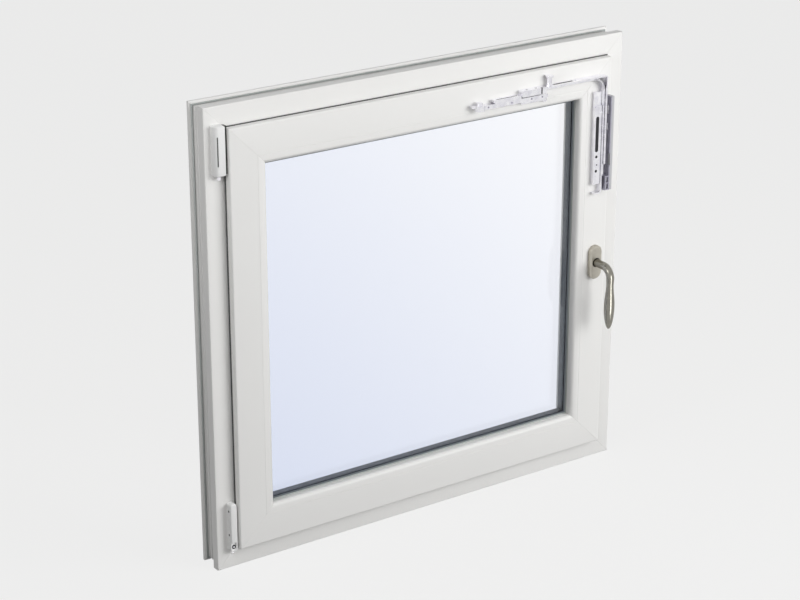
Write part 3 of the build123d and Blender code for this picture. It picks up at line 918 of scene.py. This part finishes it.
@dataclass
class SealedUnit:
    """Two panes, the perforated spacer, its sealant and the gaskets."""

    finishes: Finishes
    dot_radius: float = 0.55 * MM
    dot_pitch: float = 4.5 * MM
    dot_gap: float = 7.0 * MM
    sealant_radius: float = 0.7 * MM
    sealant_inset: float = 2.2 * MM
    lip_radius: float = 1.6 * MM
    lip_inset: float = 4.4 * MM
    lip_pressed: float = 0.1 * MM
    sash_gap_shade_radius: float = 1.6 * MM
    sash_gap_shade_reach: float = 0.3 * MM

    def build(self) -> None:
        """Dresses the unit and adds what is too fine for the solids."""
        coats = {
            self.finishes[Slot.GLASS]: ("glass_pane_inner", "glass_pane_outer"),
            self.finishes[Slot.GASKET]: ("gasket_bead", "gasket_glass_outer"),
            self.finishes.sash_seal: ("gasket_flange", "gasket_rebate"),
            self.finishes[Slot.SPACER]: ("spacer_ring",),
        }
        for coat, nodes in coats.items():
            for node in nodes:
                dress(node, coat)
        self.spacer_trim()
        self.glazing_lip()
        self.sash_lip()

    def inside(self) -> tuple[float, float, float]:
        """Measures the spacer's inner faces.

        Returns:
            Their width, their height and the height of their middle, in metres.
        """
        mesh = frame["nodes"]["spacer_ring"].data
        low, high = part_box("spacer_ring")
        middle = (low.z + high.z) / 2
        reach_x = min(abs(v.co.x) for v in mesh.vertices)
        reach_z = min(abs(v.co.z - middle) for v in mesh.vertices)
        return 2 * reach_x, 2 * reach_z, middle

    def spacer_trim(self) -> None:
        """Sets the spacer's two rows of drying holes and the sealant line along each pane."""
        low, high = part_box("spacer_ring")
        width, height, middle = self.inside()
        black = self.finishes.black.material
        holes = Loop(width, height, middle, (low.y + high.y - self.dot_gap) / 2, 2, self.dot_gap)
        sizes = {"Pitch": self.dot_pitch, "Radius": self.dot_radius}
        holes.lay(dot_tree(), "spacer_perforations", Coat(Slot.SPACER, black), sizes)
        width, height = width + self.sealant_inset, height + self.sealant_inset
        lines = Loop(width, height, middle, low.y, 2, high.y - low.y)
        sizes = {"Radius": self.sealant_radius}
        lines.lay(ring_tree(), "sealant_lines", Coat(Slot.GASKET, black), sizes)

    def glazing_lip(self) -> None:
        """Runs the soft lip of the room gasket round the glass, inside the beads."""
        left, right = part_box("bead_left")[1].x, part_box("bead_right")[0].x
        bottom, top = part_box("bead_bottom")[1].z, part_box("bead_top")[0].z
        width, height = right - left - 2 * self.lip_inset, top - bottom - 2 * self.lip_inset
        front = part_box("glass_pane_inner")[0].y - self.lip_radius + self.lip_pressed
        lip = Loop(width, height, (top + bottom) / 2, front)
        lip.lay(ring_tree(), "glazing_lip", self.finishes.lip, {"Radius": self.lip_radius})

    def sash_lip(self) -> None:
        """Runs the flange seal's dark lip round the sash's edge; it also paints the shade of the gap to
        the frame.
        """
        low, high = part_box("sash_stile_left")
        seal_low, seal_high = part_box("gasket_flange")
        width = 2 * (self.sash_gap_shade_reach - low.x)
        height = high.z - low.z + 2 * self.sash_gap_shade_reach
        # The dark lip is partly the real seal and partly painted shadow of the gap between sash and frame.
        lip = Loop(width, height, (high.z + low.z) / 2, (seal_low.y + seal_high.y) / 2)
        sizes = {"Radius": self.sash_gap_shade_radius}
        lip.lay(ring_tree(), "sash_lip", self.finishes.sash_seal, sizes)


@dataclass
class Handle:
    """The rosette, the collar and the smooth lever that turns."""

    finishes: Finishes
    neck_radius: float = 8.2 * MM
    bend_radius: float = 22.0 * MM
    waist_radius: float = 7.7 * MM
    waist_drop: float = 12.0 * MM
    belly_radius: float = 11.0 * MM
    belly_drop: float = 58.0 * MM
    rosette_edge: float = 0.5 * MM
    sides: int = 48
    sharp_from: float = 50.0
    bend_steps: int = 20
    swell_steps: int = 40
    tip_steps: int = 24

    def build(self) -> None:
        """Dresses the fixed parts and builds the lever."""
        refined("handle_rosette", self.finishes.rosette, Edge(width=self.rosette_edge))
        # The collar is a real washer, and its near black plastic also paints the shade of the gap round
        # the lever's neck.
        dress("handle_collar", self.finishes[Slot.COLLAR])
        self.lever()

    def rings(self) -> list[tuple[Vector, Vector, float]]:
        """Gives the rings of the lever from its foot to its tip.

        Returns:
            The middle, the upward side direction and the radius of each ring.
        """
        low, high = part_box("handle_lever")
        middle_x = (low.x + high.x) / 2
        grip_y = low.y + self.belly_radius
        neck_z = high.z - self.neck_radius
        bend_z = neck_z - self.bend_radius
        up, room = Vector((0, 0, 1)), Vector((0, -1, 0))
        rings = [(Vector((middle_x, high.y, neck_z)), up, self.neck_radius)]
        for step in range(self.bend_steps + 1):
            angle = math.pi / 2 * step / self.bend_steps
            side = up * math.cos(angle) + room * math.sin(angle)
            centre = Vector((middle_x, grip_y + self.bend_radius, bend_z))
            rings.append((centre + side * self.bend_radius, side, self.neck_radius))
        for step in range(1, self.swell_steps + 1):
            drop = self.belly_drop * step / self.swell_steps
            radius = self.swell(drop)
            rings.append((Vector((middle_x, grip_y, bend_z - drop)), room, radius))
        tip_length = bend_z - self.belly_drop - low.z
        for step in range(1, self.tip_steps):
            angle = math.pi / 2 * step / self.tip_steps
            drop = self.belly_drop + tip_length * math.sin(angle)
            radius = self.belly_radius * math.cos(angle)
            rings.append((Vector((middle_x, grip_y, bend_z - drop)), room, radius))
        return rings

    def swell(self, drop: float) -> float:
        """Gives the radius of the grip above its belly.

        Args:
            drop: distance below the end of the bend.

        Returns:
            The radius in metres.
        """
        if drop < self.waist_drop:
            start, end, share = self.neck_radius, self.waist_radius, drop / self.waist_drop
        else:
            start, end = self.waist_radius, self.belly_radius
            share = (drop - self.waist_drop) / (self.belly_drop - self.waist_drop)
        return start + (end - start) * (1 - math.cos(math.pi * share)) / 2

    def lever(self) -> None:
        """Skins the rings into one closed smooth mesh that replaces the CAD lever."""
        shape = bmesh.new()
        across = Vector((1, 0, 0))
        made = []
        rings = self.rings()
        for middle, side, radius in rings:
            made.append([])
            for step in range(self.sides):
                angle = math.tau * step / self.sides
                spoke = across * math.cos(angle) + side * math.sin(angle)
                made[-1].append(shape.verts.new(middle + spoke * radius))
        skin(shape, made)
        foot = shape.verts.new(rings[0][0])
        tip = shape.verts.new(Vector((rings[-1][0].x, rings[-1][0].y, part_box("handle_lever")[0].z)))
        for step in range(self.sides):
            after = (step + 1) % self.sides
            shape.faces.new((made[0][after], made[0][step], foot))
            shape.faces.new((made[-1][step], made[-1][after], tip))
        bmesh.ops.recalc_face_normals(shape, faces=shape.faces)
        mesh = smoothed(shape, "handle_grip", self.sharp_from)
        grip = keep_piece("handle_grip", mesh, self.finishes[Slot.NICKEL], Body.HANDLE)
        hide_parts("handle_lever")


@dataclass
class Hinges:
    """Caps, covers and pins on the left jamb."""

    finishes: Finishes
    kit: FastenerKit
    cap_edge: float = 0.5 * MM
    screw_rows: int = 2
    screw_radius: float = 2.6 * MM
    screw_top: float = 16.0 * MM
    screw_pitch: float = 50.0 * MM
    screw_sunk: float = 0.35 * MM
    socket_shade_radius: float = 4.2 * MM
    socket_shade_sunk: float = 2.4 * MM
    pin_radius: float = 1.9 * MM
    pin_sunk: float = 2.0 * MM
    slot_inset: float = 6.0 * MM
    slot_sunk: float = 1.0 * MM
    slot_shade_bar: Insert = Insert(55.0 * MM, 2.1 * MM, 2.6 * MM)

    def build(self) -> None:
        """Dresses the hinge parts, puts a dark bar of painted shade in the cap's slot and black screws in
        the cover's holes.
        """
        cap, black = self.finishes[Slot.CAP], self.finishes.black
        for node in ("hinge_upper_cap", "hinge_lower_cover", "hinge_lower_pot"):
            refined(node, cap, Edge(width=self.cap_edge))
        # The link is real, and its near black plastic also paints the shade of the deep gap between cap
        # and sash.
        dress("hinge_upper_link", self.finishes[Slot.COLLAR])
        for node in ("hinge_upper_pin", "hinge_lower_pin"):
            dress(node, self.finishes[Slot.ZINC])
        low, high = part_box("hinge_upper_cap")
        face = (low.x + self.slot_inset, low.y + self.slot_sunk, (low.z + high.z) / 2)
        # A dark bar sunk in the cap's slot: painted shade of the deep slot.
        self.slot_shade_bar.put("cap_slot_liner", face, Facing.ROOM, self.finishes.sash_seal)
        low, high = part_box("hinge_lower_cover")
        face_x, middle_y = low.x + self.screw_sunk, (low.y + high.y) / 2
        top = high.z - self.screw_top
        places = [
            ((face_x, middle_y, top - row * self.screw_pitch), Facing.LEFT)
            for row in range(self.screw_rows)
        ]
        # Real screws, coloured black as painted shade of their holes.
        self.kit.set("cover_screws", self.kit.plug, self.screw_radius, places, black)
        self.bearing()

    def bearing(self) -> None:
        """Sets a black disc of painted shade in the pot's socket, and its bright pin in the pot."""
        low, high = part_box("hinge_lower_pot")
        middle_x, middle_z = (low.x + high.x) / 2, (low.z + high.z) / 2
        black, zinc = self.finishes.black, self.finishes[Slot.ZINC]
        socket_shade = [((middle_x, low.y + self.socket_shade_sunk, middle_z), Facing.ROOM)]
        pin = [((middle_x, low.y + self.pin_sunk, middle_z), Facing.ROOM)]
        self.kit.set("pot_bush", self.kit.plug, self.socket_shade_radius, socket_shade, black)
        self.kit.set("pot_pin", self.kit.rivet, self.pin_radius, pin, zinc)


@dataclass
class CornerDrive:
    """The corner drive and the stay on the sash, with their screws, rivets and the dark bars of painted
    shade in their slots.

    Places along the legs are distances from the outer corner of the faceplate.
    """

    finishes: Finishes
    kit: FastenerKit
    plate_edge: float = 0.25 * MM
    screw_radius: float = 2.1 * MM
    screw_sunk: float = 0.9 * MM
    top_screw: float = 76.0 * MM
    side_screw: float = 176.0 * MM
    rivet_radius: float = 1.9 * MM
    hole_radius: float = 2.95 * MM
    hole_sunk: float = 0.9 * MM
    housing_holes: tuple[float, ...] = (168.0 * MM, 198.0 * MM)
    housing_dot: float = 185.0 * MM
    housing_dot_radius: float = 1.5 * MM
    housing_slot: float = 121.0 * MM
    housing_slot_sunk: float = 1.2 * MM
    housing_inset: float = 6.5 * MM
    housing_proud: float = 1.0 * MM
    top_slot: float = 107.0 * MM
    slide_sunk: float = 0.3 * MM
    block_holes: tuple[float, ...] = (174.0 * MM, 196.0 * MM)
    block_hole_radius: float = 2.4 * MM
    block_sunk: float = 0.6 * MM
    block_slot: float = 163.0 * MM
    block_slot_sunk: float = 1.4 * MM
    arm_rivets: tuple[float, ...] = (160.0 * MM, 186.0 * MM, 234.0 * MM, 290.0 * MM)
    housing_slide: Insert = Insert(72.5 * MM, 7.4 * MM, 5.0 * MM)
    faceplate_slide: Insert = Insert(49.4 * MM, 5.6 * MM, 3.0 * MM)
    block_slide: Insert = Insert(12.6 * MM, 2.6 * MM, 1.4 * MM)
    rail_slide: Insert = Insert(51.0 * MM, 2.8 * MM, 1.1 * MM)
    parts: tuple[str, ...] = (
        "corner_faceplate",
        "corner_housing",
        "corner_spring_band",
        "drive_rod",
        "end_roller",
        "guide_block",
        "link_bars",
        "mushroom_cam",
        "slide_rod",
        "slider_rail",
        "stay_arm",
    )

    def build(self) -> None:
        """Dresses the fittings and sets their fasteners."""
        zinc = self.finishes[Slot.ZINC]
        for node in self.parts:
            refined(node, zinc, Edge(width=self.plate_edge))
        self.fasteners()
        self.dark_holes()
        self.slot_shades()

    def corner(self) -> tuple[float, float, float]:
        """Gives X and Z of the faceplate's outer corner, and Y of the middle of the plate."""
        low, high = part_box("corner_faceplate")
        return high.x, high.z, (low.y + high.y) / 2

    def fasteners(self) -> None:
        """Sets the faceplate's screws and the rivets of the stay arm."""
        corner_x, corner_z, middle_y = self.corner()
        screws = [
            ((corner_x - self.top_screw, middle_y, corner_z - self.screw_sunk), Facing.UP),
            ((corner_x - self.screw_sunk, middle_y, corner_z - self.side_screw), Facing.RIGHT),
        ]
        low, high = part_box("stay_arm")
        middle_z = (low.z + high.z) / 2
        rivets = [((corner_x - at, low.y, middle_z), Facing.ROOM) for at in self.arm_rivets]
        sets = (
            ("faceplate_screws", self.kit.screw, self.screw_radius, screws),
            ("arm_rivets", self.kit.rivet, self.rivet_radius, rivets),
        )
        for name, head, radius, places in sets:
            self.kit.set(name, head, radius, places, self.finishes[Slot.KEEP])

    def dark_holes(self) -> None:
        """Sets black screws deep in the holes of the housing and the guide block, as painted shade of the
        holes.
        """
        corner_x, corner_z, middle_y = self.corner()
        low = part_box("corner_housing")[0]
        hole_x, front = low.x + self.housing_inset, low.y + self.housing_proud
        holes = [
            ((hole_x, front + self.hole_sunk, corner_z - at), Facing.ROOM) for at in self.housing_holes
        ]
        dot = [((hole_x + self.housing_dot_radius, front, corner_z - self.housing_dot), Facing.ROOM)]
        block = [
            ((corner_x - at, middle_y, corner_z - self.block_sunk), Facing.UP) for at in self.block_holes
        ]
        sets = (
            ("housing_screws", self.hole_radius, holes),
            ("housing_pin", self.housing_dot_radius, dot),
            ("guide_block_screws", self.block_hole_radius, block),
        )
        for name, radius, places in sets:
            # Black plug heads fill the holes: painted shade.
            self.kit.set(name, self.kit.plug, radius, places, self.finishes.black)

    def slot_shades(self) -> None:
        """Puts black bars in the long slots of the housing, faceplate, block and rail: partly the real
        slides, partly painted shade of the slots.
        """
        corner_x, corner_z, middle_y = self.corner()
        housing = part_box("corner_housing")[0]
        block_low, block_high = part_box("guide_block")
        rail_low, rail_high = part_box("slider_rail")
        in_housing = (
            housing.x + self.housing_inset,
            housing.y + self.housing_proud + self.housing_slot_sunk,
            corner_z - self.housing_slot,
        )
        in_plate = (corner_x - self.top_slot, middle_y, corner_z - self.slide_sunk)
        in_block = (
            corner_x - self.block_slot,
            block_low.y + self.block_slot_sunk,
            (block_low.z + block_high.z) / 2,
        )
        in_rail = (
            (rail_low.x + rail_high.x) / 2,
            (rail_low.y + rail_high.y) / 2,
            rail_high.z - self.slide_sunk,
        )
        slot_shades = (
            ("housing_slide", self.housing_slide, in_housing, Facing.ROOM),
            ("faceplate_slide", self.faceplate_slide, in_plate, Facing.UP),
            ("block_slide", self.block_slide, in_block, Facing.ROOM),
            ("rail_slide", self.rail_slide, in_rail, Facing.UP),
        )
        for name, bar, face, facing in slot_shades:
            # Black bars: painted shade in the slots.
            bar.put(name, face, facing, self.finishes.black)


@dataclass
class Keep:
    """The keep beside the corner drive, with places measured down from its plate's top."""

    finishes: Finishes
    kit: FastenerKit
    plate_edge: float = 0.25 * MM
    screw_radius: float = 2.4 * MM
    screw_sunk: float = 0.5 * MM
    screws_at: tuple[float, ...] = (10.0 * MM, 92.0 * MM, 180.0 * MM)
    plate_windows: tuple[float, ...] = (29.0 * MM, 64.0 * MM)
    plate_pads: tuple[Insert, ...] = (
        Insert(18.0 * MM, 7.0 * MM, 1.6 * MM),
        Insert(14.6 * MM, 7.4 * MM, 1.6 * MM),
    )
    plate_pad_sunk: float = 0.5 * MM
    clip_windows: int = 2
    clip_wall: float = 2.5 * MM
    clip_pad_sunk: float = 4.0 * MM
    clip_pad_play: float = 0.3 * MM
    clip_pad_depth: float = 6.0 * MM

    def build(self) -> None:
        """Dresses the keep's plate, backing and clip, and sets its screws and pads."""
        grey, edge = self.finishes[Slot.KEEP], Edge(width=self.plate_edge)
        for node in ("keep_plate", "keep_clip"):
            refined(node, grey, edge)
        refined("keep_backing", self.finishes[Slot.BACKING], edge)
        low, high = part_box("keep_plate")
        face_x, middle_y = low.x + self.screw_sunk, (low.y + high.y) / 2
        places = [((face_x, middle_y, high.z - at), Facing.LEFT) for at in self.screws_at]
        self.kit.set("keep_screws", self.kit.screw, self.screw_radius, places, grey)
        self.pads()

    def pads(self) -> None:
        """Puts a pale pad in each window of the plate and of the clip."""
        low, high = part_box("keep_plate")
        zinc, pale = self.finishes[Slot.ZINC], self.finishes[Slot.BACKING]
        for row, (at, pad) in enumerate(zip(self.plate_windows, self.plate_pads), start=1):
            face = (low.x + self.plate_pad_sunk, (low.y + high.y) / 2, high.z - at)
            pad.put(f"plate_pad_{row}", face, Facing.LEFT, zinc)
        low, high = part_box("keep_clip")
        walls = (self.clip_windows + 1) * self.clip_wall
        height = (high.z - low.z - walls) / self.clip_windows
        width = high.x - low.x - self.clip_wall
        pad = Insert(height - self.clip_pad_play, width - self.clip_pad_play, self.clip_pad_depth)
        for row in range(self.clip_windows):
            middle_z = low.z + self.clip_wall + height / 2 + row * (height + self.clip_wall)
            face = (high.x - width / 2, low.y + self.clip_pad_sunk, middle_z)
            pad.put(f"clip_pad_{row + 1}", face, Facing.ROOM, pale)


@dataclass(frozen=True)
class Softbox:
    """A lamp with a flat rectangular face that the camera doesn't see."""

    name: str
    place: Place
    width: float
    height: float
    power: float
    aim_at: Place = AIM
    mirrored: bool = True

    def hang(self, only_for: tuple[str, ...] = ()) -> None:
        """Hangs the lamp.

        Args:
            only_for: names of the pieces that it lights, where it doesn't light them all.
        """
        light = bpy.data.lights.new(self.name, "AREA")
        light.shape = "RECTANGLE"
        light.size = self.width
        light.size_y = self.height
        light.energy = self.power
        box = in_scene(self.name, light)
        box.visible_camera = False
        box.visible_transmission = False
        box.visible_glossy = self.mirrored
        box.location = self.place
        aim = Vector(self.aim_at) - Vector(self.place)
        box.rotation_mode = "QUATERNION"
        box.rotation_quaternion = aim.to_track_quat("-Z", "Y")
        if only_for:
            lit = bpy.data.collections.new(self.name + "_lights")
            for name in only_for:
                lit.objects.link(bpy.data.objects[name])
            box.light_linking.receiver_collection = lit


@dataclass
class Studio:
    """A pale floor, soft lamps, an even sky and the camera of the portrait."""

    backdrop: Colour = (0.890, 0.890, 0.887)
    bounce: Colour = (0.28, 0.28, 0.28)
    # Colour that the floor and sky show through the glass, brighter and bluer than the backdrop: a painted
    # reflection glow on the glass.
    through: Colour = (0.985, 0.985, 1.0)
    ambient_low: Colour = (0.09, 0.092, 0.095)
    ambient_high: Colour = (0.46, 0.46, 0.457)
    ambient_from: Place = (0.10, -0.85, -0.25)
    floor_radius: float = 14.0
    floor_sides: int = 96
    glow: float = 0.9
    key: Softbox = Softbox("key", (1.60, -2.4, 1.35), 2.2, 1.9, 69.0, mirrored=False)
    fill: Softbox = Softbox("fill", (-1.5, -0.6, 1.5), 0.8, 0.8, 7.6)
    back: Softbox = Softbox("back", (0.3, 2.6, 1.1), 1.6, 1.6, 34.0, mirrored=False)
    streak: Softbox = Softbox("streak", (0.36, -0.73, 0.32), 0.17, 0.60, 2.4, (0.41, -0.09, 0.38))
    azimuth: float = math.radians(-34.3)
    elevation: float = math.radians(21.4)
    distance: float = 4.240
    sensor: float = 36.0
    lens: float = 98.3

    def build(self) -> None:
        """Builds the floor, the sky, the lamps and the camera."""
        self.floor()
        self.sky()
        self.key.hang()
        self.fill.hang()
        meshes = (thing.name for thing in bpy.context.scene.objects if thing.type == "MESH")
        self.back.hang(tuple(name for name in meshes if name != "floor"))
        self.streak.hang(("handle_grip",))
        self.camera()

    def floor(self) -> None:
        """Lays a round floor that shows the backdrop colour and keeps a soft shadow."""
        graph = ShaderGraph("floor")
        camera, direct, through = graph.rays()
        tone = graph.blend(camera, self.bounce, self.backdrop)
        matt = graph.add("ShaderNodeBsdfDiffuse", Color=tone).outputs[0]
        even = graph.add("ShaderNodeEmission", Color=(*self.backdrop, 1), Strength=1.0).outputs[0]
        # Seen only through the glass: painted reflection glow.
        seen = graph.add("ShaderNodeEmission", Color=(*self.through, 1), Strength=1.0).outputs[0]
        share = graph.add("ShaderNodeMath", direct, self.glow, settings={"operation": "MULTIPLY"})
        first = graph.add("ShaderNodeMixShader", share.outputs[0], matt, even).outputs[0]
        second = graph.add("ShaderNodeMixShader", through, first, seen).outputs[0]
        disc = bmesh.new()
        bmesh.ops.create_circle(
            disc, cap_ends=True, segments=self.floor_sides, radius=self.floor_radius
        )
        mesh = bpy.data.meshes.new("floor")
        disc.to_mesh(mesh)
        disc.free()
        mesh.materials.append(graph.close(second))
        floor = in_scene("floor", mesh)

    def sky(self) -> None:
        """Makes a sky that is brighter towards the room's side and plain where it is seen."""
        world = bpy.data.worlds.new("sky")
        bpy.context.scene.world = world
        world.use_nodes = True
        world.node_tree.nodes.clear()
        graph = NodeGraph(world.node_tree)
        place = graph.add("ShaderNodeTexCoord").outputs["Generated"]
        way = Vector(self.ambient_from).normalized()
        along = graph.add("ShaderNodeVectorMath", place, way, settings={"operation": "DOT_PRODUCT"})
        spread = graph.add("ShaderNodeMapRange", along.outputs["Value"], From_Min=-1.0)
        tone = graph.blend(spread.outputs["Result"], self.ambient_low, self.ambient_high)
        _, direct, through = graph.rays()
        plain = graph.blend(direct, tone, self.backdrop)
        # Rays through the glass see the brighter through colour: painted reflection glow.
        clear = graph.blend(through, plain, self.through)
        light = graph.add("ShaderNodeBackground", Color=clear)
        graph.add("ShaderNodeOutputWorld", Surface=light.outputs[0])

    def camera(self) -> None:
        """Sets the camera at the portrait's viewing angle."""
        data = bpy.data.cameras.new("portrait")
        data.sensor_width = self.sensor
        data.lens = self.lens
        camera = in_scene("portrait", data)
        level = math.cos(self.elevation)
        back = Vector(
            (math.sin(self.azimuth) * level, -math.cos(self.azimuth) * level, math.sin(self.elevation))
        )
        camera.location = Vector(AIM) + back * self.distance
        camera.rotation_mode = "QUATERNION"
        camera.rotation_quaternion = (-back).to_track_quat("-Z", "Y")
        bpy.context.scene.camera = camera


def main() -> None:
    """Builds every part of the scene in order and notes its size."""
    logging.basicConfig(level=logging.INFO, format="%(name)s: %(message)s")
    bpy.context.scene.view_settings.view_transform = "Standard"
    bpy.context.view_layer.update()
    pane_low, pane_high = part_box("glass_pane_inner")
    finishes = Finishes(tuple(pane_low), tuple(pane_high))
    kit = FastenerKit()
    Profiles(finishes).build()
    SealedUnit(finishes).build()
    Handle(finishes).build()
    Hinges(finishes, kit).build()
    CornerDrive(finishes, kit).build()
    Keep(finishes, kit).build()
    Studio().build()


if __name__ == "__main__":
    main()
